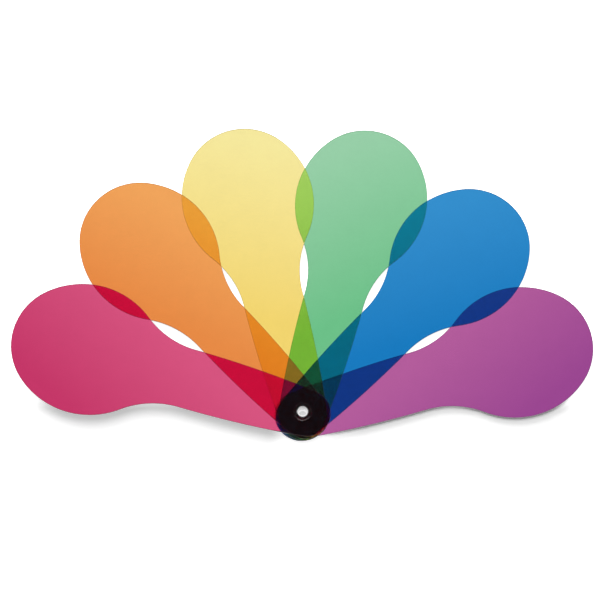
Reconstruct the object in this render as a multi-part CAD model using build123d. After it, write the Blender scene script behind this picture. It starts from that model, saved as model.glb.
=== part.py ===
from build123d import *

import os
from math import acos, atan2, cos, pi, radians, sin

# A fan of six see-through colour paddles that turn on one hollow snap rivet.
# Lengths are in millimetres and angles in degrees. The origin is on the rivet's axis,
# in the plane that the fan lies on. Z is up, and the fan opens towards +Y.

# ---- Paddle outline, drawn with the handle along +X and the rivet's axis at 0, 0 ----
ROUND_END_RADIUS = 10.8     # the handle's round end
ROUND_END_SETBACK = 2.0     # the round end's centre lies this far behind the hole
FLARE_ANGLE = 6.3           # how far each side opens where it leaves the round end
HANDLE_SIDE_RADIUS = 510.0  # the handle's sides bulge very slightly
NECK_RADIUS = 41.0          # the hollow curve that runs out into the bulb
BULB_REACH = 102.8          # rivet axis to the bulb's widest line
BULB_HALF_WIDTH = 30.2
CHEEK_RADIUS = 37.8         # the bulb's side
NOSE_LEAD = 6.8             # the nose's centre lies this far beyond the widest line

# ---- Sheet and stack ----
SHEET_THICKNESS = 1.2
SHEET_GAP = 0.1             # air between one paddle and the next
SHEET_EDGE_ROUND = 0.3      # softened edge of the moulding

# Bottom to top, with the direction of each handle, counted from +X towards +Y
PADDLE_ANGLES = {
    "purple_paddle": 16.4,
    "blue_paddle": 45.5,
    "green_paddle": 74.8,
    "yellow_paddle": 104.2,
    "orange_paddle": 133.0,
    "red_paddle": 163.6,
}

# ---- Hollow snap rivet, from the inside outwards ----
BORE_RADIUS = 2.0
POST_WALL = 0.38
SNAP_CLEARANCE = 0.03       # post in sleeve, all round
SLEEVE_WALL = 0.38
TURNING_CLEARANCE = 0.06    # sleeve in each paddle's hole, all round
FLANGE_RADIUS = 4.1
FLANGE_THICKNESS = 0.8
FLANGE_RIM_ROUND = 0.3
FLANGE_GAP = 0.1            # flange to the nearest sheet
MOUTH_ROUND = 0.2           # lead-in round of the bore

SNAP_BEAD_HEIGHT = 0.14     # how far the bead stands out of the post
SNAP_BEAD_LENGTH = 0.9
SNAP_BEAD_LEVEL = 1.9       # middle of the bead above the resting plane
SNAP_GROOVE_CLEARANCE = 0.04
SLIT_COUNT = 4
SLIT_WIDTH = 0.35
SLIT_LENGTH = 3.4           # from the post's open end

# ---- Sizes that follow ----
POST_RADIUS = BORE_RADIUS + POST_WALL
SLEEVE_BORE_RADIUS = POST_RADIUS + SNAP_CLEARANCE
SLEEVE_RADIUS = SLEEVE_BORE_RADIUS + SLEEVE_WALL
HOLE_RADIUS = SLEEVE_RADIUS + TURNING_CLEARANCE
SHEET_PITCH = SHEET_THICKNESS + SHEET_GAP
STACK_BOTTOM = FLANGE_THICKNESS + FLANGE_GAP
STACK_TOP = STACK_BOTTOM + len(PADDLE_ANGLES) * SHEET_PITCH - SHEET_GAP
SLEEVE_TOP = STACK_TOP + FLANGE_GAP
RIVET_TOP = SLEEVE_TOP + FLANGE_THICKNESS


def on_circle(centre, radius, angle):
    """Point at an angle, in radians, on a circle in the XY plane."""
    return centre + Vector(cos(angle), sin(angle)) * radius


def between(centre, start, end):
    """The shorter arc about centre from start to end."""
    radius = (start - centre).length
    middle = centre + ((start + end) * 0.5 - centre).normalized() * radius
    return ThreePointArc(start, middle, end)


def towards(centre, target, radius):
    """Point where the line from centre to target crosses a circle about centre."""
    return centre + (target - centre).normalized() * radius


def paddle_side():
    """One long side of the outline: five arcs, each tangent to the next, from heel to tip."""
    heel_centre = Vector(-ROUND_END_SETBACK, 0)
    leave = radians(90 + FLARE_ANGLE)
    side_centre = on_circle(heel_centre, ROUND_END_RADIUS - HANDLE_SIDE_RADIUS, leave)

    # The nose's circle touches the cheek's from inside.
    cheek_centre = Vector(BULB_REACH, BULB_HALF_WIDTH - CHEEK_RADIUS)
    nose_centre = Vector(BULB_REACH + NOSE_LEAD, 0)
    nose_radius = CHEEK_RADIUS - (nose_centre - cheek_centre).length

    # The neck's circle touches the handle's side and the cheek from outside.
    span = cheek_centre - side_centre
    from_side = HANDLE_SIDE_RADIUS + NECK_RADIUS
    from_cheek = CHEEK_RADIUS + NECK_RADIUS
    turn = acos((span.length**2 + from_side**2 - from_cheek**2) / (2 * span.length * from_side))
    neck_centre = on_circle(side_centre, from_side, atan2(span.Y, span.X) + turn)

    heel = on_circle(heel_centre, ROUND_END_RADIUS, pi)
    handle_start = on_circle(heel_centre, ROUND_END_RADIUS, leave)
    neck_start = towards(side_centre, neck_centre, HANDLE_SIDE_RADIUS)
    cheek_start = towards(neck_centre, cheek_centre, NECK_RADIUS)
    nose_start = nose_centre + (nose_centre - cheek_centre).normalized() * nose_radius
    tip = nose_centre + Vector(nose_radius, 0)
    return Curve() + [
        between(heel_centre, heel, handle_start),
        between(side_centre, handle_start, neck_start),
        between(neck_centre, neck_start, cheek_start),
        between(cheek_centre, cheek_start, nose_start),
        between(nose_centre, nose_start, tip),
    ]


def paddle_blank():
    """One paddle lying along +X with its underside at z = 0: outline, soft edges and pivot hole."""
    side = paddle_side()
    outline = make_face(side + mirror(side, Plane.XZ))
    sheet = extrude(outline, SHEET_THICKNESS)
    rims = sheet.edges().filter_by(lambda edge: abs(edge.bounding_box().size.Z) < SHEET_THICKNESS / 2)
    sheet = fillet(rims, SHEET_EDGE_ROUND)
    hole = Cylinder(HOLE_RADIUS, SHEET_THICKNESS, align=(Align.CENTER, Align.CENTER, Align.MIN))
    return sheet - hole


def fan_of_paddles():
    """The six paddles, each turned to its direction and lifted to its layer."""
    blank = paddle_blank()
    fan = {}
    for layer, (name, direction) in enumerate(PADDLE_ANGLES.items()):
        level = STACK_BOTTOM + layer * SHEET_PITCH
        fan[name] = Pos(0, 0, level) * Rot(0, 0, direction) * blank
    return fan


def disc(radius, bottom, top):
    """A round disc or plug about the rivet's axis."""
    height = top - bottom
    return Pos(0, 0, bottom) * Cylinder(radius, height, align=(Align.CENTER, Align.CENTER, Align.MIN))


def swelling(radius, height, length, level):
    """A ring of rounded section that stands out of a cylinder, as one solid with its core."""
    foot = length / 2
    bulge = ThreePointArc((radius, level - foot), (radius + height, level), (radius, level + foot))
    core = Polyline(bulge @ 1, (0, level + foot), (0, level - foot), bulge @ 0)
    return revolve(Plane.XZ * make_face(bulge + core), Axis.Z)


def flange(bottom, outer_face_up):
    """A rivet flange whose outer rim is rounded on the side away from the paddles."""
    plate = disc(FLANGE_RADIUS, bottom, bottom + FLANGE_THICKNESS)
    rims = plate.edges().sort_by(Axis.Z)
    outer_rim = rims[-1] if outer_face_up else rims[0]
    return fillet(outer_rim, FLANGE_RIM_ROUND)


def rivet_sleeve():
    """Lower half: flange and tube, with a groove inside for the post's bead."""
    body = flange(0, False) + disc(SLEEVE_RADIUS, 0, SLEEVE_TOP)
    body -= disc(SLEEVE_BORE_RADIUS, 0, SLEEVE_TOP)
    groove_length = SNAP_BEAD_LENGTH + 2 * SNAP_GROOVE_CLEARANCE
    body -= swelling(SLEEVE_BORE_RADIUS, SNAP_BEAD_HEIGHT, groove_length, SNAP_BEAD_LEVEL)
    return body


def rivet_post():
    """Upper half: flange and slit tube, with the bead that snaps into the sleeve."""
    body = flange(SLEEVE_TOP, True) + disc(POST_RADIUS, 0, RIVET_TOP)
    body += swelling(POST_RADIUS, SNAP_BEAD_HEIGHT, SNAP_BEAD_LENGTH, SNAP_BEAD_LEVEL)
    body -= disc(BORE_RADIUS, 0, RIVET_TOP)
    mouth = body.edges().filter_by(GeomType.CIRCLE).filter_by(lambda edge: edge.radius < POST_RADIUS)
    body = fillet(mouth.sort_by(Axis.Z)[-1], MOUTH_ROUND)
    reach = POST_RADIUS + SNAP_BEAD_HEIGHT
    slit = Box(2 * reach, SLIT_WIDTH, SLIT_LENGTH, align=(Align.CENTER, Align.CENTER, Align.MIN))
    for turn in range(SLIT_COUNT // 2):
        body -= Rot(0, 0, turn * 360 / SLIT_COUNT) * slit
    return body


def main():
    """Build every piece and write one file for each."""
    pieces = fan_of_paddles()
    pieces["rivet_sleeve"] = rivet_sleeve()
    pieces["rivet_post"] = rivet_post()
    os.makedirs("parts", exist_ok=True)
    for name, piece in pieces.items():
        export_step(piece, f"parts/{name}.step")


main()
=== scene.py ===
"""A fan of six see-through colour paddles that turn on a clear hollow snap rivet.

Lengths are in metres and angles in degrees unless a name or a docstring says otherwise. Every piece
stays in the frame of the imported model: the rivet's axis is Z, and the fan opens towards +Y.
"""

import logging
from dataclasses import dataclass, field
from enum import Enum
from math import acos, cos, pi, radians, sin

import bpy
import numpy as np
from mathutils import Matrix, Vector


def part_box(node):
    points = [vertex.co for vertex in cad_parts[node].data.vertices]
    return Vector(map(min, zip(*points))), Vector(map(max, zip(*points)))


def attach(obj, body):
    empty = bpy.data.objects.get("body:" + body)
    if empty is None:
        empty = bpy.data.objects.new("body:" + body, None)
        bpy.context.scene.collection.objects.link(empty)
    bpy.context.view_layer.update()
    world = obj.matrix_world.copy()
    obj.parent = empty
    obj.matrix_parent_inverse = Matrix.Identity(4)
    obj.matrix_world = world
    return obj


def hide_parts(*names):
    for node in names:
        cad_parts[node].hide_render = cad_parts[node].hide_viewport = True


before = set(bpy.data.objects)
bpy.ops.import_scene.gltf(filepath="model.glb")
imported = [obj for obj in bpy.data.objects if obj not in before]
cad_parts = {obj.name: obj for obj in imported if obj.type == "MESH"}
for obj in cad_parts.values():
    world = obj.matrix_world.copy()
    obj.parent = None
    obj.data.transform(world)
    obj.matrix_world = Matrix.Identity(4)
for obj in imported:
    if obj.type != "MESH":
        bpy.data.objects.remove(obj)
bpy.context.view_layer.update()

MM = 0.001
LOG = logging.getLogger("paddle_fan")

# Points of a skin that lie closer together than about this are welded into one.
WELD = 2e-8
# Light meets an upper and a lower face in each sheet.
FACES_PER_SHEET = 2
# Smooth noise lies about 0.5: the first band holds most of it, and the second nearly all.
NOISE_MOST = (0.35, 0.65)
NOISE_NEARLY_ALL = (0.3, 0.7)
# How many faces light may pass, enough for all the layers at the hub, and how many may mirror it.
LAYER_BOUNCES = 40
GLOSS_BOUNCES = 8


# ----------------------------------------------------------------------------------------------------
# Node helpers
# ----------------------------------------------------------------------------------------------------


Colour = tuple[float, float, float]
Number = float | bpy.types.NodeSocket
Tone = Colour | bpy.types.NodeSocket

WHITE: Colour = (1.0, 1.0, 1.0)


class Blend(Enum):
    """How one colour is laid over another."""

    OVER = "MIX"
    TIMES = "MULTIPLY"


class Step(Enum):
    """A step of arithmetic on two numbers."""

    PLUS = "ADD"
    TIMES = "MULTIPLY"
    SIZE = "ABSOLUTE"
    ABOVE = "GREATER_THAN"
    LARGER = "MAXIMUM"


class Graph:
    """A small wrapper round a material's or the world's node tree."""

    def __init__(self, tree: bpy.types.NodeTree) -> None:
        """Empty the tree.

        Args:
            tree: the node tree to build in.
        """
        self.tree = tree
        tree.nodes.clear()

    def add(self, kind: str, **inputs: object) -> bpy.types.Node:
        """Add a node and set sockets and properties on it.

        Args:
            kind: the node's type name without the "ShaderNode" in front.
            inputs: the name of a property or a socket, with underscores for spaces, or an underscore
                and a socket's number; and its value, or a socket to link to it.

        Returns:
            The new node.
        """
        node = self.tree.nodes.new("ShaderNode" + kind)
        for name, value in inputs.items():
            if hasattr(node, name):
                setattr(node, name, value)
                continue
            socket = node.inputs[int(name[1:]) if name[1:].isdigit() else name.replace("_", " ")]
            if isinstance(value, bpy.types.NodeSocket):
                self.tree.links.new(value, socket)
            else:
                socket.default_value = value
        return node

    def maths(self, step: Step, a: Number, b: Number = 0.0) -> bpy.types.NodeSocket:
        """One step of arithmetic on two numbers.

        Args:
            step: what is done with them.
            a: the first number.
            b: the second number, where the step has one.

        Returns:
            The socket with the answer.
        """
        return self.add("Math", operation=step.value, _0=a, _1=b).outputs[0]

    def scale(
        self,
        value: Number,
        old: tuple[float, float],
        new: tuple[Number, Number],
        soft: bool = False,
    ) -> bpy.types.NodeSocket:
        """Carry a number from one range to another and keep it inside the new one.

        Args:
            value: the number.
            old: the range that it comes from.
            new: the range that it goes to.
            soft: True eases the way in and out.

        Returns:
            The socket with the answer.
        """
        ease = "SMOOTHSTEP" if soft else "LINEAR"
        ends = dict(From_Min=old[0], From_Max=old[1], To_Min=new[0], To_Max=new[1])
        return self.add("MapRange", interpolation_type=ease, Value=value, **ends).outputs[0]

    def noise(
        self, place: bpy.types.NodeSocket, grain: float, detail: float = 2.0
    ) -> bpy.types.NodeSocket:
        """Smooth noise about 0.5.

        Args:
            place: the point's place on the part.
            grain: how large its patches are, in millimetres.
            detail: how many finer layers it has.

        Returns:
            The socket with the noise.
        """
        return self.add("TexNoise", Vector=place, Scale=1.0 / (grain * MM), Detail=detail).outputs[0]

    def mix(
        self, blend: Blend, factor: Number, a: Tone, b: Tone, clamp: bool = False
    ) -> bpy.types.NodeSocket:
        """Blend two colours.

        Args:
            blend: how the second colour is laid over the first.
            factor: how much of the second colour is used, from 0 to 1.
            a: the first colour.
            b: the second colour.
            clamp: True keeps the blended colour from 0 to 1.

        Returns:
            The socket with the blended colour.
        """
        node = self.add("Mix", data_type="RGBA", blend_type=blend.value, clamp_result=clamp)
        # A mix node has sockets for every kind of data: 6 and 7 are those for two colours.
        sockets = (node.inputs[0], node.inputs[6], node.inputs[7])
        for socket, value in zip(sockets, (factor, a, b)):
            if isinstance(value, bpy.types.NodeSocket):
                self.tree.links.new(value, socket)
            else:
                socket.default_value = (*value, 1.0) if isinstance(value, tuple) else value
        return node.outputs[2]

    def object_place(self) -> bpy.types.NodeSocket:
        """The point's place on the part."""
        return self.add("TexCoord").outputs["Object"]

    def by_gloss_or_glass(self) -> bpy.types.NodeSocket:
        """1 for a ray that comes by way of gloss or glass, and 0 for any other."""
        ray = self.add("LightPath").outputs
        return self.maths(Step.LARGER, ray["Is Glossy Ray"], ray["Is Transmission Ray"])


# ----------------------------------------------------------------------------------------------------
# Finishes
# ----------------------------------------------------------------------------------------------------


@dataclass(frozen=True)
class Plastic:
    """Smooth moulded plastic that light passes through.

    Attributes:
        name: the material's name.
        polish: the least and the greatest roughness of its faces, which change from place to place.
        wave_length: how far apart the moulding's shallow waves are, in millimetres.
        wave_height: how high they are, in millimetres.
        patches_per_wave: how many patches of better or worse polish lie along one wave.
        refraction: how strongly it bends light.
    """

    name: str
    polish: tuple[float, float] = (0.07, 0.13)
    wave_length: float = 14.0
    wave_height: float = 0.012
    patches_per_wave: float = 3.0
    refraction: float = 1.49

    def tint(self, graph: Graph, place: bpy.types.NodeSocket) -> bpy.types.NodeSocket:
        """How much red, green and blue light gets through.

        Args:
            graph: the material's nodes.
            place: the point's place on the part.

        Returns:
            The tint.
        """
        raise NotImplementedError

    def build(self) -> bpy.types.Material:
        """Make the material: the tint, a patchy polish and the moulding's shallow waves.

        Returns:
            The new material.
        """
        material = bpy.data.materials.new(self.name)
        material.use_nodes = True
        graph = Graph(material.node_tree)
        place = graph.object_place()
        waves = graph.noise(place, self.wave_length, detail=1.0)
        patches = graph.noise(place, self.wave_length / self.patches_per_wave)
        shader = graph.add(
            "BsdfPrincipled",
            Base_Color=self.tint(graph, place),
            Roughness=graph.scale(patches, NOISE_MOST, self.polish),
            Normal=graph.add("Bump", Height=waves, Distance=self.wave_height * MM).outputs[0],
            IOR=self.refraction,
            Transmission_Weight=1.0,
        )
        graph.add("OutputMaterial", Surface=shader.outputs[0])
        return material


@dataclass(frozen=True)
class TintedPlastic(Plastic):
    """See-through plastic whose tint is deeper at one end of the sheet than at the other.

    A dye stops a band of the spectrum. Light that has come through another sheet has lost part of that
    band already, so this sheet takes less from it than from white light. Three colours alone can't say
    that, so the tint is scaled by how many sheets the light has come through.

    Attributes:
        deep: how much red, green and blue light gets through where the tint is deepest.
        pale: the same where it's palest. The paleness is painted light: the tint is paler where glare
            and less filtered light, coming in under the sheet, fall.
        way: the direction from deep to pale, in degrees from +X towards +Y.
        deep_at: how far along it the tint is still deepest, in millimetres from the rivet's axis.
        pale_at: how far along it's palest.
        behind: what the tint is multiplied by behind at least so many other sheets, fewest first.
        grain: how far the mottling takes the tint up and down.
        speck_size: how large the mottling's specks are, in millimetres.
        cloud_size: how large its weaker clouds are, in millimetres.
        cloud_share: how strong the clouds are beside the specks.
        mottling_reach: how far specks and clouds together seldom stray from their middle.
        rim_tone: what the tint is multiplied by on the rim, where light is bent aside.
        rim_upright: how upright the surface's direction is where the rim's tone is full, and where it
            has faded to nothing. It's 1 on a flat face.
    """

    deep: Colour = WHITE
    pale: Colour = WHITE
    way: float = 0.0
    deep_at: float = 0.0
    pale_at: float = 1.0
    behind: tuple[tuple[int, Colour], ...] = ()
    grain: float = 0.03
    speck_size: float = 1.1
    cloud_size: float = 8.0
    cloud_share: float = 0.4
    mottling_reach: float = 0.3
    rim_tone: float = 0.45
    rim_upright: tuple[float, float] = (0.9, 0.999)

    def painted_light_drift(self, graph: Graph, place: bpy.types.NodeSocket) -> bpy.types.NodeSocket:
        """The tint from end to end: a straight blend along one direction.

        Args:
            graph: the material's nodes.
            place: the point's place on the part.

        Returns:
            The tint.
        """
        # Painted light: the tint is painted paler along this direction, where glare and less filtered
        # light fall on the sheet.
        heading = (cos(radians(self.way)), sin(radians(self.way)), 0.0)
        along = graph.add("VectorMath", operation="DOT_PRODUCT", _0=place, _1=heading).outputs["Value"]
        painted_paleness = graph.scale(along, (self.deep_at * MM, self.pale_at * MM), (0.0, 1.0))
        return graph.mix(Blend.OVER, painted_paleness, self.deep, self.pale)

    def mottling(self, graph: Graph, place: bpy.types.NodeSocket) -> bpy.types.NodeSocket:
        """The fine unevenness of moulded sheet: small specks over weaker and larger clouds.

        Args:
            graph: the material's nodes.
            place: the point's place on the part.

        Returns:
            The level to multiply the tint by, about 1.
        """
        specks = graph.noise(place, self.speck_size)
        clouds = graph.noise(place, self.cloud_size, detail=1.0)
        both = graph.maths(Step.PLUS, specks, graph.maths(Step.TIMES, clouds, self.cloud_share))
        middle = 0.5 * (1.0 + self.cloud_share)
        band = (middle - self.mottling_reach, middle + self.mottling_reach)
        return graph.scale(both, band, (1.0 - self.grain, 1.0 + self.grain))

    def rim_shade(self, graph: Graph) -> bpy.types.NodeSocket:
        """The darker line along every rim: 1 on a flat face, falling to the rim's tone as it tilts.

        Args:
            graph: the material's nodes.

        Returns:
            The level to multiply the tint by.
        """
        normal = graph.add("NewGeometry").outputs["Normal"]
        upright = graph.maths(Step.SIZE, graph.add("SeparateXYZ", Vector=normal).outputs["Z"])
        return graph.scale(upright, self.rim_upright, (self.rim_tone, 1.0))

    def tint(self, graph: Graph, place: bpy.types.NodeSocket) -> bpy.types.NodeSocket:
        """The drift, mottled, with a darker rim, scaled by how many sheets light has come through.

        Args:
            graph: the material's nodes.
            place: the point's place on the part.

        Returns:
            The tint.
        """
        level = graph.maths(Step.TIMES, self.mottling(graph, place), self.rim_shade(graph))
        # The drift is painted light, paler towards the end where glare and less filtered light fall.
        own = graph.mix(Blend.TIMES, 1.0, self.painted_light_drift(graph, place), level)
        faces_passed = graph.add("LightPath").outputs["Transmission Depth"]
        factor_here = WHITE
        for sheets, factor in self.behind:
            # Half a face less keeps the comparison clear of the whole numbers on both its sides.
            is_behind = graph.maths(Step.ABOVE, faces_passed, FACES_PER_SHEET * sheets - 0.5)
            factor_here = graph.mix(Blend.OVER, is_behind, factor_here, factor)
        return graph.mix(Blend.TIMES, 1.0, own, factor_here, clamp=True)


@dataclass(frozen=True)
class ClearPlastic(Plastic):
    """The rivet's clear plastic, a little clouded where it flowed together in the mould.

    Attributes:
        clearest: how much red, green and blue light gets through where it's clearest.
        cloudiest: the same where it's cloudiest.
        cloud_size: how large its clouds are, in millimetres.
    """

    polish: tuple[float, float] = (0.08, 0.16)
    wave_length: float = 2.0
    wave_height: float = 0.006
    clearest: Colour = (0.985, 0.988, 0.99)
    cloudiest: Colour = (0.95, 0.955, 0.96)
    cloud_size: float = 1.5

    def tint(self, graph: Graph, place: bpy.types.NodeSocket) -> bpy.types.NodeSocket:
        """Faint clouds between the clearest and the cloudiest tone.

        Args:
            graph: the material's nodes.
            place: the point's place on the part.

        Returns:
            The tint.
        """
        cloud = graph.scale(graph.noise(place, self.cloud_size), NOISE_NEARLY_ALL, (0.0, 1.0))
        return graph.mix(Blend.OVER, cloud, self.clearest, self.cloudiest)


# Each paddle's pale colour and the direction towards it are painted light: the tint is painted paler
# where glare and less filtered light fall.
RED = TintedPlastic(
    "red_plastic",
    deep=(0.6, 0.04, 0.148),
    pale=(0.727, 0.095, 0.23),
    way=46.5,
    deep_at=-72.0,
    pale_at=-15.5,
)
ORANGE = TintedPlastic(
    "orange_plastic",
    deep=(0.86, 0.275, 0.064),
    pale=(0.945, 0.403, 0.114),
    way=62.0,
    deep_at=9.5,
    pale_at=58.0,
    behind=((1, (1.06, 0.14, 3.17)),),
)
YELLOW = TintedPlastic(
    "yellow_plastic",
    deep=(0.96, 0.715, 0.17),
    pale=(1.0, 0.88, 0.366),
    way=77.5,
    deep_at=39.0,
    pale_at=120.0,
    behind=((1, (1.1, 1.22, 1.43)), (2, (1.1, 1.5, 4.1))),
)
GREEN = TintedPlastic(
    "green_plastic",
    deep=(0.162, 0.567, 0.266),
    pale=(0.337, 0.672, 0.422),
    way=113.5,
    deep_at=33.0,
    pale_at=107.0,
    behind=((1, (1.28, 1.27, 0.93)), (2, (1.94, 1.21, 4.0)), (3, (1.94, 1.75, 4.0))),
)
BLUE = TintedPlastic(
    "blue_plastic",
    deep=(0.009, 0.21, 0.563),
    pale=(0.036, 0.292, 0.655),
    way=105.5,
    deep_at=19.0,
    pale_at=77.0,
    behind=((1, (0.47, 1.22, 1.59)), (2, (1.5, 0.84, 1.96)), (4, (1.5, 4.7, 1.96))),
)
PURPLE = TintedPlastic(
    "purple_plastic",
    deep=(0.35, 0.066, 0.305),
    pale=(0.485, 0.116, 0.355),
    way=129.5,
    deep_at=-65.0,
    pale_at=-13.5,
    behind=((1, (1.3, 1.66, 1.29)), (2, (1.4, 2.47, 1.27)), (5, (0.6, 10.0, 0.5))),
)
CLEAR = ClearPlastic("clear_plastic")


# ----------------------------------------------------------------------------------------------------
# Skins: closed meshes sewn from grids of points
# ----------------------------------------------------------------------------------------------------


class Skin:
    """A closed skin sewn from grids of points, whose edges meet point for point."""

    def __init__(self, name: str) -> None:
        """Start an empty skin.

        Args:
            name: the name of the mesh.
        """
        self.name = name
        self.points: list[np.ndarray] = []
        self.corners: list[np.ndarray] = []
        self.normals: list[np.ndarray] = []

    def add(self, points: np.ndarray, normals: np.ndarray) -> None:
        """Add a grid.

        Each cell of the grid becomes one face, wound so that it looks the way its normals point.

        Args:
            points: rows by columns by 3.
            normals: the surface's direction at each point, or one direction for the whole grid.
        """
        rows, columns = points.shape[:2]
        normals = np.broadcast_to(normals, points.shape).reshape(-1, 3)
        index = np.arange(rows * columns).reshape(rows, columns)
        cells = np.stack([index[:-1, :-1], index[1:, :-1], index[1:, 1:], index[:-1, 1:]], -1)
        cells = cells.reshape(-1, 4)
        flat = points.reshape(-1, 3)
        one_way = flat[cells[:, 2]] - flat[cells[:, 0]]
        other_way = flat[cells[:, 3]] - flat[cells[:, 1]]
        if np.einsum("ij,ij->", np.cross(one_way, other_way), normals[cells[:, 0]]) < 0.0:
            cells = cells[:, ::-1]
        done = sum(len(grid) for grid in self.points)
        self.points.append(flat)
        self.corners.append(cells + done)
        self.normals.append(normals[cells])

    def mesh(self) -> bpy.types.Mesh:
        """Weld points that share a place and make the mesh.

        A cell with two corners in one place, as at a pole, becomes a triangle.

        Returns:
            The mesh, with the grids' own normals at its corners.
        """
        points = np.concatenate(self.points)
        corners = np.concatenate(self.corners)
        normals = np.concatenate(self.normals)
        key = np.round(points / WELD).astype(np.int64)
        _, first, place = np.unique(key, axis=0, return_index=True, return_inverse=True)
        corners = place.reshape(-1)[corners]
        repeats = corners == np.roll(corners, -1, axis=1)
        whole = ~repeats.any(axis=1)
        pole = repeats.sum(axis=1) == 1
        kept = ~repeats[pole]
        faces = corners[whole].tolist() + corners[pole][kept].reshape(-1, 3).tolist()
        directions = np.concatenate([normals[whole].reshape(-1, 3), normals[pole][kept]])
        mesh = bpy.data.meshes.new(self.name)
        mesh.from_pydata(points[first].tolist(), [], faces)
        mesh.shade_smooth()
        mesh.normals_split_custom_set(directions.tolist())
        return mesh


def dressed(skin: Skin, finish: Plastic, body: str, node: str) -> bpy.types.Object:
    """Make a piece from a skin and a finish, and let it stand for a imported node.

    Args:
        skin: the piece's closed skin.
        finish: what it is made of.
        body: the body that it moves with.
        node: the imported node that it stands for.

    Returns:
        The piece.
    """
    piece = bpy.data.objects.new(skin.name, skin.mesh())
    piece.data.materials.append(finish.build())
    bpy.context.scene.collection.objects.link(piece)
    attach(piece, body)
    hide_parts(node)
    LOG.info("%s: %d faces", piece.name, len(piece.data.polygons))
    return piece


# ----------------------------------------------------------------------------------------------------
# Paddles
# ----------------------------------------------------------------------------------------------------


@dataclass(frozen=True)
class PaddleOutline:
    """The outline that the six paddles share, in millimetres.

    The handle lies along +X and the rivet's axis at 0, 0. Each side is five arcs, each tangent to the
    next: round end, handle, neck, cheek and nose.

    Attributes:
        round_end_radius: the handle's round end.
        round_end_setback: how far the round end's centre lies behind the hole.
        flare: the angle by which each side opens where it leaves the round end.
        handle_side_radius: the handle's sides, which bulge very slightly.
        neck_radius: the hollow curve that runs out into the bulb.
        cheek_radius: the bulb's side.
        bulb_reach: rivet axis to the bulb's widest line.
        bulb_half_width: half the bulb's width there.
        nose_lead: widest line to the centre of the nose's arc.
        spacing: the distance between points along the outline.
        least_steps: the fewest points that an arc may have.
    """

    round_end_radius: float = 10.8
    round_end_setback: float = 2.0
    flare: float = 6.3
    handle_side_radius: float = 510.0
    neck_radius: float = 41.0
    cheek_radius: float = 37.8
    bulb_reach: float = 102.8
    bulb_half_width: float = 30.2
    nose_lead: float = 6.8
    spacing: float = 0.8
    least_steps: int = 6

    def arc(
        self, centre: complex, radius: float, start: float, end: float, outward: int
    ) -> np.ndarray:
        """Points on an arc, without its last one: centre + radius * e^(i * angle) at even angles.

        Args:
            centre: the arc's centre, as x + iy.
            radius: its radius.
            start: the angle of its first point, in radians.
            end: the angle of its last point, in radians.
            outward: 1 where the outline bulges, and -1 where it is hollow.

        Returns:
            Two rows: the points and the outline's outward directions there.
        """
        steps = max(self.least_steps, round(abs(end - start) * radius / self.spacing))
        turn = np.exp(1j * np.linspace(start, end, steps, endpoint=False))
        return np.stack([centre + radius * turn, outward * turn])

    def side(self) -> np.ndarray:
        """The +Y side from heel to tip.

        Where two arcs meet, their centres and the meeting point are in line. The neck's centre is a
        corner of the triangle whose other corners are the handle side's and the cheek's centres, so it
        follows from the triangle's three sides.

        Returns:
            Two rows: the points in metres and the outward directions, both as x + iy.
        """
        heel = complex(-self.round_end_setback, 0.0)
        leave = radians(90.0 + self.flare)
        handle = heel + (self.round_end_radius - self.handle_side_radius) * np.exp(1j * leave)
        cheek = complex(self.bulb_reach, self.bulb_half_width - self.cheek_radius)
        nose = complex(self.bulb_reach + self.nose_lead, 0.0)
        nose_radius = self.cheek_radius - abs(nose - cheek)

        span = cheek - handle
        to_neck = self.handle_side_radius + self.neck_radius
        cheek_to_neck = self.cheek_radius + self.neck_radius
        opposite = abs(span) ** 2 + to_neck**2 - cheek_to_neck**2
        neck_way = np.angle(span) + acos(opposite / (2.0 * abs(span) * to_neck))
        neck = handle + to_neck * np.exp(1j * neck_way)
        cheek_way, nose_way = np.angle(neck - cheek), np.angle(nose - cheek)
        arcs = [
            self.arc(heel, self.round_end_radius, pi, leave, 1),
            self.arc(handle, self.handle_side_radius, leave, neck_way, 1),
            self.arc(neck, self.neck_radius, neck_way - pi, cheek_way - pi, -1),
            self.arc(cheek, self.cheek_radius, cheek_way, nose_way, 1),
            self.arc(nose, nose_radius, nose_way, 0.0, 1),
            np.array([[nose + nose_radius], [1.0 + 0.0j]]),
        ]
        points, directions = np.concatenate(arcs, axis=1)
        points[[0, -1]] = points[[0, -1]].real
        return np.stack([points * MM, directions])


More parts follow.
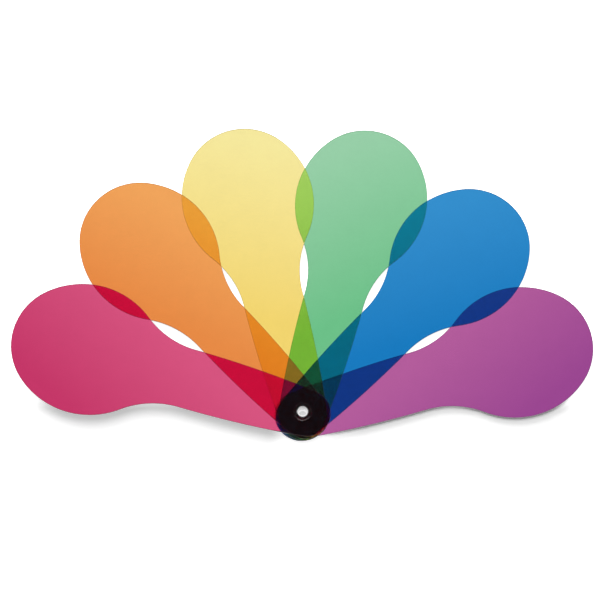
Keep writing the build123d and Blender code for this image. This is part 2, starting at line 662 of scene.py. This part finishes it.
@dataclass
class Paddle:
    """One see-through paddle: a flat sheet with a rounded rim and a hole for the rivet.

    Attributes:
        body: the body that it turns with.
        direction: where the handle points, in degrees from +X towards +Y.
        finish: its plastic.
        outline: the outline that all paddles share.
        rim_round: the radius of the rounding at the upper and lower edge of the rim.
        hole_radius: the hole's radius.
        rim_steps: faces round each rounding.
        width_cells: faces from one side of the sheet to the other.
        hub_rings: rings of faces between the hole and the handle's end.
        hub_reach: how far along the handle those rings go.
        bottom: the lower face's height, from the frame.
        top: the upper face's height, from the frame.
    """

    body: str
    direction: float
    finish: TintedPlastic
    outline: PaddleOutline = field(default_factory=PaddleOutline)
    rim_round: float = 0.3 * MM
    hole_radius: float = 2.85 * MM
    rim_steps: int = 6
    width_cells: int = 16
    hub_rings: int = 7
    hub_reach: float = 12.0 * MM
    bottom: float = field(init=False)
    top: float = field(init=False)

    def __post_init__(self) -> None:
        """Read the two faces' heights from the frame."""
        self.bottom, self.top = (corner.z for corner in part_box(self.node))

    @property
    def node(self) -> str:
        """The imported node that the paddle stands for."""
        return self.body + "_paddle"

    def placed(self, flat: np.ndarray, height: float | np.ndarray) -> np.ndarray:
        """Turn flat points to the paddle's direction and lift them to a height.

        Args:
            flat: points as x + iy, with the handle along +X.
            height: the height over the resting plane, one for all points or one for each.

        Returns:
            The points as x, y and z.
        """
        turned = flat * np.exp(1j * radians(self.direction))
        return np.stack(np.broadcast_arrays(turned.real, turned.imag, height), -1)

    def rim(self) -> tuple[np.ndarray, np.ndarray]:
        """The rim, as a section carried along the outline.

        The section is a quarter circle from the upper face, the wall, and a quarter circle to the lower
        face. A point of it is the outline moved inwards by rim_round * (1 - sin a), at the height
        top - rim_round * (1 - cos a), with a from 0 to 90 degrees. The lower half is its mirror image.

        Returns:
            The points and the surface's directions, one row for each step of the section.
        """
        side, out = self.outline.side()
        loop = np.concatenate([side, side[-2::-1].conj()])
        out = np.concatenate([out, out[-2::-1].conj()])
        a = np.linspace(0.0, pi / 2, self.rim_steps + 1)
        inset = self.rim_round * (1.0 - np.sin(a))
        drop = self.rim_round * (1.0 - np.cos(a))
        inset = np.concatenate([inset, inset[::-1]])[:, None]
        height = np.concatenate([self.top - drop, self.bottom + drop[::-1]])[:, None]
        sideways = np.concatenate([np.sin(a), np.sin(a)[::-1]])[:, None]
        upwards = np.concatenate([np.cos(a), -np.cos(a)[::-1]])[:, None]
        points = self.placed(loop[None, :] - out[None, :] * inset, height)
        directions = self.placed(out[None, :] * sideways, upwards)
        return points, directions

    def face(self) -> tuple[np.ndarray, np.ndarray]:
        """One flat face, in two grids that share the line across the handle at hub_reach.

        Past that line, each row runs straight across from one side of the outline to the other. Before
        it, rows are rings that swell from the hole's circle to the outline:
        hole + share * (edge - hole), for a share from 0 to 1.

        Returns:
            The grid from the line to the tip, and the grid of rings, both as x + iy.
        """
        side, out = self.outline.side()
        edge = side - out * self.rim_round
        start = int(np.argmax(edge.real > self.hub_reach))
        across = np.linspace(-1.0, 1.0, self.width_cells + 1)[None, :]
        far = edge[start:, None]
        blade = far.real + 1j * far.imag * across
        ring = np.concatenate([edge[start::-1], edge[1 : start + 1].conj(), blade[0, 1:]])
        hole = self.hole_radius * ring / np.abs(ring)
        share = np.linspace(0.0, 1.0, self.hub_rings + 1)[:, None]
        return blade, hole + share * (ring - hole)

    def build(self) -> bpy.types.Object:
        """Sew the rim, the two faces and the hole's wall, and put the paddle on its body.

        Returns:
            The paddle.
        """
        skin = Skin(self.body + "_sheet")
        skin.add(*self.rim())
        blade, hub = self.face()
        for height, way in ((self.top, 1.0), (self.bottom, -1.0)):
            skin.add(self.placed(blade, height), np.array([0.0, 0.0, way]))
            skin.add(self.placed(hub, height), np.array([0.0, 0.0, way]))
        hole = hub[0][None, :]
        heights = np.array([self.top, self.bottom])[:, None]
        inwards = self.placed(-hole / self.hole_radius, 0.0)
        skin.add(self.placed(hole, heights), np.repeat(inwards, 2, axis=0))
        return dressed(skin, self.finish, self.body, self.node)


def paddles() -> list[Paddle]:
    """The six paddles, bottom to top."""
    return [
        Paddle("purple", 16.4, PURPLE),
        Paddle("blue", 45.5, BLUE),
        Paddle("green", 74.8, GREEN),
        Paddle("yellow", 104.2, YELLOW),
        Paddle("orange", 133.0, ORANGE),
        Paddle("red", 163.6, RED),
    ]


# ----------------------------------------------------------------------------------------------------
# Rivet
# ----------------------------------------------------------------------------------------------------


Stretch = tuple[np.ndarray, np.ndarray]


def straight(start: complex, end: complex, cells: int = 1) -> Stretch:
    """A straight stretch of a section: start + share * (end - start).

    A section is drawn as radius + i * height, counter-clockwise, so its outward side is on the right.

    Args:
        start: its first point.
        end: its last point.
        cells: how many equal parts it has.

    Returns:
        The points and the outward directions there.
    """
    points = start + np.linspace(0.0, 1.0, cells + 1) * (end - start)
    return points, np.full(cells + 1, -1j * (end - start) / abs(end - start))


def rounded(centre: complex, radius: float, start: float, end: float, cells: int) -> Stretch:
    """A round stretch of a section: centre + radius * e^(i * angle).

    Args:
        centre: its centre.
        radius: its radius.
        start: the angle of its first point.
        end: the angle of its last one, which is less than the first where the section is hollow.
        cells: how many equal parts it has.

    Returns:
        The points and the outward directions there.
    """
    turn = np.exp(1j * np.radians(np.linspace(start, end, cells + 1)))
    return centre + radius * turn, turn if end > start else -turn


def swelling(
    wall: float, level: float, height: float, length: float, upwards: bool, cells: int
) -> Stretch:
    """The rounded bead or groove of the snap: an arc that stands out from a wall.

    With half the chord f and the rise s, its radius is (f^2 + s^2) / (2 s), and its centre lies one
    radius less s inside the wall.

    Args:
        wall: the wall's radius.
        level: the height of its middle.
        height: how far it stands out from the axis, past the wall.
        length: its chord.
        upwards: True for a bead, whose section runs up, and False for a groove, whose runs down.
        cells: how many equal parts it has.

    Returns:
        The points and the outward directions there.
    """
    foot = length / 2.0
    radius = (foot**2 + height**2) / (2.0 * height)
    half = np.degrees(np.arcsin(foot / radius))
    centre = complex(wall + height - radius, level)
    start, end = (-half, half) if upwards else (half, -half)
    return rounded(centre, radius, start, end, cells)


@dataclass
class Rivet:
    """The hollow snap rivet: a flanged sleeve from below, and a flanged post snapped into it.

    Attributes:
        finish: its plastic.
        bore_radius: the hole through it.
        post_radius: the post's outer wall.
        sleeve_bore_radius: the sleeve's inner wall.
        sleeve_radius: the sleeve's outer wall.
        flange_radius: the two flanges.
        flange_thickness: their thickness.
        rim_round: the rounding of their rims on the side away from the sheets.
        mouth_round: the rounding of the bore's mouth.
        bead_height: how far the post's bead stands out.
        bead_length: the bead's length along the axis.
        bead_level: the middle of the bead over the resting plane.
        groove_clearance: the groove is longer than the bead by this at each end.
        slit_width: the slits between the post's fingers.
        slit_length: their length from the post's lower end.
        fingers: how many there are.
        finger_cells: faces round each finger.
        slit_cells: faces across each slit.
        round_cells: faces round each rounding.
        flange_cells: faces from the rim of a flange to its tube.
        sleeve_cells: faces along the sleeve's tube.
        post_cells: faces along the post's tube above the slits.
        finger_end_cells: faces along a finger on each side of its bead.
    """

    finish: ClearPlastic = CLEAR
    bore_radius: float = 2.0 * MM
    post_radius: float = 2.38 * MM
    sleeve_bore_radius: float = 2.41 * MM
    sleeve_radius: float = 2.79 * MM
    flange_radius: float = 4.1 * MM
    flange_thickness: float = 0.8 * MM
    rim_round: float = 0.3 * MM
    mouth_round: float = 0.2 * MM
    bead_height: float = 0.14 * MM
    bead_length: float = 0.9 * MM
    bead_level: float = 1.9 * MM
    groove_clearance: float = 0.04 * MM
    slit_width: float = 0.35 * MM
    slit_length: float = 3.4 * MM
    fingers: int = 4
    finger_cells: int = 24
    slit_cells: int = 2
    round_cells: int = 8
    flange_cells: int = 3
    sleeve_cells: int = 6
    post_cells: int = 4
    finger_end_cells: int = 2

    def ring(self, section: Stretch, angles: np.ndarray) -> tuple[np.ndarray, np.ndarray]:
        """Turn a stretch of the section about the axis: (r cos a, r sin a, z).

        Args:
            section: the stretch.
            angles: the angles to turn it to, one row for all its points or one for each.

        Returns:
            The points and the outward directions.
        """
        turn = np.exp(1j * angles)
        grids = []
        for line in section:
            around = line.real[:, None] * turn
            layers = np.broadcast_arrays(around.real, around.imag, line.imag[:, None])
            grids.append(np.stack(layers, -1))
        return grids[0], grids[1]

    def slit_angle(self, radius: np.ndarray) -> np.ndarray:
        """Half the angle that a slit takes up at a radius, in radians: arcsin(slit_width / 2r)."""
        return np.arcsin(self.slit_width / (2.0 * radius))

    def sleeve(self) -> bpy.types.Object:
        """The lower half: the flange, the tube round it and the groove inside, turned all round.

        Returns:
            The sleeve.
        """
        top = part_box("rivet_sleeve")[1].z
        inner, outer, edge = self.sleeve_bore_radius, self.sleeve_radius, self.flange_radius
        seat, rim, rounds = self.flange_thickness, self.rim_round, self.round_cells
        groove = self.bead_length + 2.0 * self.groove_clearance
        above, below = self.bead_level + groove / 2.0, self.bead_level - groove / 2.0
        section = [
            straight(inner + 0j, edge - rim + 0j, self.flange_cells),
            rounded(complex(edge - rim, rim), rim, -90.0, 0.0, rounds),
            straight(complex(edge, rim), complex(edge, seat)),
            straight(complex(edge, seat), complex(outer, seat), self.flange_cells),
            straight(complex(outer, seat), complex(outer, top), self.sleeve_cells),
            straight(complex(outer, top), complex(inner, top)),
            straight(complex(inner, top), complex(inner, above), self.sleeve_cells),
            swelling(inner, self.bead_level, self.bead_height, groove, False, rounds),
            straight(complex(inner, below), inner + 0j),
        ]
        cells_round = self.fingers * (self.finger_cells + self.slit_cells)
        angles = np.linspace(0.0, 2.0 * pi, cells_round + 1)
        angles[-1] = 0.0
        skin = Skin("rivet_sleeve_clear")
        for stretch in section:
            skin.add(*self.ring(stretch, angles))
        return dressed(skin, self.finish, "rivet", "rivet_sleeve")

    def post_section(self) -> tuple[list[Stretch], list[Stretch]]:
        """The post's section, from its foot up the outer wall, over the flange and down the bore.

        Returns:
            The fingers' outer wall up to the end of the slits, and the rest down to that height.
        """
        foot, peak = (corner.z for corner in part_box("rivet_post"))
        seat = peak - self.flange_thickness
        inner, outer, edge = self.bore_radius, self.post_radius, self.flange_radius
        rim, mouth, rounds = self.rim_round, self.mouth_round, self.round_cells
        slit_end = self.slit_length
        above = self.bead_level + self.bead_length / 2.0
        below = self.bead_level - self.bead_length / 2.0
        finger = [
            straight(complex(outer, foot), complex(outer, below), self.finger_end_cells),
            swelling(outer, self.bead_level, self.bead_height, self.bead_length, True, rounds),
            straight(complex(outer, above), complex(outer, slit_end), self.finger_end_cells),
        ]
        rest = [
            straight(complex(outer, slit_end), complex(outer, seat), self.post_cells),
            straight(complex(outer, seat), complex(edge, seat), self.flange_cells),
            straight(complex(edge, seat), complex(edge, peak - rim)),
            rounded(complex(edge, peak) - (1 + 1j) * rim, rim, 0.0, 90.0, rounds),
            straight(complex(edge - rim, peak), complex(inner + mouth, peak), self.flange_cells),
            rounded(complex(inner, peak) + (1 - 1j) * mouth, mouth, 90.0, 180.0, rounds),
            straight(complex(inner, peak - mouth), complex(inner, slit_end), self.post_cells),
        ]
        return finger, rest

    def post(self) -> bpy.types.Object:
        """The upper half: the flange and the tube, whose lower end is slit into fingers with the bead.

        A slit has flat, parallel walls. The columns of each finger keep to the slit's angle over the
        whole section, and short strips close the gaps above the slits.

        Returns:
            The post.
        """
        finger, rest = self.post_section()
        bore_side = [
            (self.bore_radius + 1j * points[::-1].imag, np.full(len(points), -1.0 + 0j))
            for points, _ in reversed(finger)
        ]
        foot_level = finger[0][0][0].imag
        foot = straight(complex(self.bore_radius, foot_level), complex(self.post_radius, foot_level))
        skin = Skin("rivet_post_clear")
        quarter = 2.0 * pi / self.fingers
        finger_shares = np.linspace(0.0, 1.0, self.finger_cells + 1)
        slit_shares = np.linspace(-1.0, 1.0, self.slit_cells + 1)
        for number in range(self.fingers):
            start = number * quarter
            for stretch in [foot, *finger, *rest, *bore_side]:
                side = self.slit_angle(stretch[0].real)[:, None]
                skin.add(*self.ring(stretch, start + side + finger_shares * (quarter - 2.0 * side)))
            for stretch in rest:
                side = self.slit_angle(stretch[0].real)[:, None]
                skin.add(*self.ring(stretch, start + side * slit_shares))
            self.slit(skin, finger, start, slit_shares)
        return dressed(skin, self.finish, "rivet", "rivet_post")

    def slit(self, skin: Skin, wall: list[Stretch], way: float, shares: np.ndarray) -> None:
        """The two flat walls and the end of one slit, between the bore and the outer wall.

        Args:
            skin: the skin to add them to.
            wall: the outer wall from the post's foot to the slit's end.
            way: the slit's direction, in radians.
            shares: the columns across the slit's end, from -1 to 1.
        """
        across = 1j * np.exp(1j * way)
        for hand in (-1.0, 1.0):
            for points, _ in wall:
                rims = np.stack([np.full(len(points), self.bore_radius), points.real], -1)
                flat = rims * np.exp(1j * (way + hand * self.slit_angle(rims)))
                layers = np.broadcast_arrays(flat.real, flat.imag, points.imag[:, None])
                skin.add(np.stack(layers, -1), -hand * np.array([across.real, across.imag, 0.0]))
        rims = np.array([[self.bore_radius], [self.post_radius]])
        flat = rims * np.exp(1j * (way + shares * self.slit_angle(rims)))
        layers = np.broadcast_arrays(flat.real, flat.imag, self.slit_length)
        skin.add(np.stack(layers, -1), np.array([0.0, 0.0, -1.0]))

    def build(self) -> None:
        """Make the sleeve and the post."""
        self.sleeve()
        self.post()


# ----------------------------------------------------------------------------------------------------
# Studio
# ----------------------------------------------------------------------------------------------------


@dataclass
class PhotoCamera:
    """The camera that took the photograph, as found by fitting the paddles' outlines.

    Attributes:
        place: the lens, in the part's frame.
        tilt: the angle between the view and straight down.
        lens: focal length in millimetres.
        sensor: the sensor's width in millimetres.
        nearest: what is closer than this isn't seen.
    """

    place: Vector = field(default_factory=lambda: Vector((-1.2, -307.0, 1564.3)) * MM)
    tilt: float = 12.99
    lens: float = 210.0
    sensor: float = 36.0
    nearest: float = 0.01

    def build(self) -> bpy.types.Object:
        """Make the camera and use it for the scene.

        Returns:
            The camera.
        """
        data = bpy.data.cameras.new("camera")
        data.lens = self.lens
        data.sensor_width = self.sensor
        data.clip_start = self.nearest
        camera = bpy.data.objects.new("camera", data)
        camera.location = self.place
        camera.rotation_euler = (radians(self.tilt), 0.0, 0.0)
        bpy.context.scene.collection.objects.link(camera)
        bpy.context.scene.camera = camera
        return camera


@dataclass
class SoftBox:
    """A square lamp that faces a point of the part and doesn't show in gloss or glass.

    Attributes:
        name: the lamp's name.
        azimuth: where it stands, counted from +X towards +Y.
        elevation: its height above the horizon.
        distance: from the target.
        side: the length of its side.
        radiance: how bright its face looks, where 1 is white.
        target: the point that it faces.
    """

    name: str
    azimuth: float
    elevation: float
    distance: float
    side: float
    radiance: float
    target: Vector = field(default_factory=lambda: Vector((0.0, 0.06, 0.0)))

    def build(self) -> bpy.types.Object:
        """Make the lamp.

        Returns:
            The lamp.
        """
        data = bpy.data.lights.new(self.name, "AREA")
        data.shape = "SQUARE"
        data.size = self.side
        # A square lamp of area A that emits P watts looks P / (pi A) bright.
        data.energy = self.radiance * pi * self.side**2
        lamp = bpy.data.objects.new(self.name, data)
        a, e = radians(self.azimuth), radians(self.elevation)
        away = Vector((cos(a) * cos(e), sin(a) * cos(e), sin(e)))
        lamp.location = self.target + away * self.distance
        lamp.rotation_euler = away.to_track_quat("Z", "Y").to_euler()
        lamp.visible_glossy = False
        lamp.visible_transmission = False
        bpy.context.scene.collection.objects.link(lamp)
        return lamp


@dataclass
class Studio:
    """The white sweep that the fan lies on, its surroundings and the lamps.

    The floor shows the fan's shadow only along the fan's lower edge. Elsewhere it adds as much light of
    its own as the shadow takes away. A glow is that light, and each edge is a pair of distances between
    which one glow gives way to the next.

    Attributes:
        floor_side: side of the square floor.
        floor_colour: how much light the floor sends back.
        left_glow: the glow in front of the fan's left half, under the top layers.
        right_glow: the same in front of its right half, where the layers lie lower.
        right_edge: from left_glow to right_glow, along X.
        hub_glow: the glow round the rivet, where next to no shadow shows.
        hub_edge: from hub_glow to the glow in front, sideways from the axis.
        back_glow: the glow behind the fan's lower edge and well away from the part.
        back_edge: from the glow in front to back_glow, along Y.
        far_edge: from the glows near the part to back_glow, from the axis outwards.
        bore_glow: the glow under the rivet's bore.
        bore_edge: from bore_glow to the glow around it, from the axis outwards.
        ambient: brightness of the surroundings as a light.
        horizon: how bright the horizon looks in reflections.
        ceiling: how bright the overhead looks in reflections.
        ceiling_edge: from horizon to ceiling, as the sine of the height over the horizon.
        lamps: the lamps.
    """

    floor_side: float = 8.0
    floor_colour: float = 0.92
    left_glow: float = 0.49
    right_glow: float = 0.16
    right_edge: tuple[float, float] = (4.0 * MM, 30.0 * MM)
    hub_glow: float = 0.9
    hub_edge: tuple[float, float] = (6.0 * MM, 16.0 * MM)
    back_glow: float = 1.0
    back_edge: tuple[float, float] = (2.0 * MM, 10.0 * MM)
    far_edge: tuple[float, float] = (140.0 * MM, 220.0 * MM)
    bore_glow: float = 0.6
    bore_edge: tuple[float, float] = (4.5 * MM, 6.0 * MM)
    ambient: float = 0.12
    horizon: float = 0.8
    ceiling: float = 0.06
    ceiling_edge: tuple[float, float] = (0.1, 0.85)
    lamps: tuple[SoftBox, ...] = (
        SoftBox("top_lamp", azimuth=105.0, elevation=70.0, distance=2.2, side=1.6, radiance=4.5),
        SoftBox("back_lamp", azimuth=110.0, elevation=25.0, distance=2.0, side=1.0, radiance=13.7),
    )

    def glow(self, graph: Graph) -> bpy.types.NodeSocket:
        """The light that the floor adds at each place.

        Args:
            graph: the floor's nodes.

        Returns:
            The glow.
        """
        place = graph.object_place()
        axes = graph.add("SeparateXYZ", Vector=place).outputs
        aside = graph.maths(Step.SIZE, axes["X"])
        from_axis = graph.add("VectorMath", operation="LENGTH", _0=place).outputs["Value"]
        glow = graph.scale(axes["X"], self.right_edge, (self.left_glow, self.right_glow), soft=True)
        glow = graph.scale(aside, self.hub_edge, (self.hub_glow, glow), soft=True)
        glow = graph.scale(axes["Y"], self.back_edge, (glow, self.back_glow), soft=True)
        glow = graph.scale(from_axis, self.far_edge, (glow, self.back_glow), soft=True)
        return graph.scale(from_axis, self.bore_edge, (self.bore_glow, glow), soft=True)

    def floor_material(self) -> bpy.types.Material:
        """White to gloss and glass, and to the camera white with the part's shadow.

        Returns:
            The floor's material.
        """
        material = bpy.data.materials.new("floor")
        material.use_nodes = True
        graph = Graph(material.node_tree)
        lit = graph.add("BsdfDiffuse", Color=(self.floor_colour,) * 3 + (1.0,))
        to_camera = graph.add("LightPath").outputs["Is Camera Ray"]
        added = graph.add("Emission", Strength=graph.maths(Step.TIMES, to_camera, self.glow(graph)))
        shaded = graph.add("AddShader", _0=lit.outputs[0], _1=added.outputs[0])
        white = graph.add("Emission", Strength=1.0)
        both = graph.add(
            "MixShader", _0=graph.by_gloss_or_glass(), _1=shaded.outputs[0], _2=white.outputs[0]
        )
        graph.add("OutputMaterial", Surface=both.outputs[0])
        return material

    def floor(self) -> bpy.types.Object:
        """The floor, as one square just under the part.

        Returns:
            The floor.
        """
        half = self.floor_side / 2
        corners = [(-half, -half, 0.0), (half, -half, 0.0), (half, half, 0.0), (-half, half, 0.0)]
        mesh = bpy.data.meshes.new("floor")
        mesh.from_pydata(corners, [], [(0, 1, 2, 3)])
        mesh.materials.append(self.floor_material())
        floor = bpy.data.objects.new("floor", mesh)
        bpy.context.scene.collection.objects.link(floor)
        return floor

    def world(self) -> bpy.types.World:
        """The surroundings: white to the camera and dim as a light.

        In gloss and glass they are bright at the horizon and dim overhead.

        Returns:
            The world.
        """
        world = bpy.data.worlds.new("studio")
        world.use_nodes = True
        bpy.context.scene.world = world
        graph = Graph(world.node_tree)
        sky_way = graph.add("TexCoord").outputs["Generated"]
        height = graph.add("SeparateXYZ", Vector=sky_way).outputs["Z"]
        overhead = graph.scale(height, self.ceiling_edge, (self.horizon, self.ceiling), soft=True)
        seen = graph.add("Background", Strength=overhead).outputs[0]
        light = graph.add("Background", Strength=self.ambient).outputs[0]
        plain = graph.add("Background", Strength=1.0).outputs[0]
        to_camera = graph.add("LightPath").outputs["Is Camera Ray"]
        others = graph.add("MixShader", _0=graph.by_gloss_or_glass(), _1=light, _2=seen).outputs[0]
        out = graph.add("MixShader", _0=to_camera, _1=others, _2=plain)
        graph.add("OutputWorld", Surface=out.outputs[0])
        return world

    def build(self) -> None:
        """Make the floor, the surroundings and the lamps."""
        self.floor()
        self.world()
        for lamp in self.lamps:
            lamp.build()


def light_paths() -> None:
    """Let light through all the layers at the hub, and leave white as white."""
    cycles = bpy.context.scene.cycles
    cycles.max_bounces = LAYER_BOUNCES
    cycles.transmission_bounces = LAYER_BOUNCES
    cycles.glossy_bounces = GLOSS_BOUNCES
    cycles.transparent_max_bounces = LAYER_BOUNCES
    cycles.caustics_refractive = False
    cycles.caustics_reflective = False
    bpy.context.scene.view_settings.view_transform = "Standard"


def main() -> None:
    """Build everything in order."""
    logging.basicConfig(level=logging.INFO, format="%(name)s: %(message)s")
    light_paths()
    PhotoCamera().build()
    Studio().build()
    for paddle in paddles():
        paddle.build()
    Rivet().build()


if __name__ == "__main__":
    main()
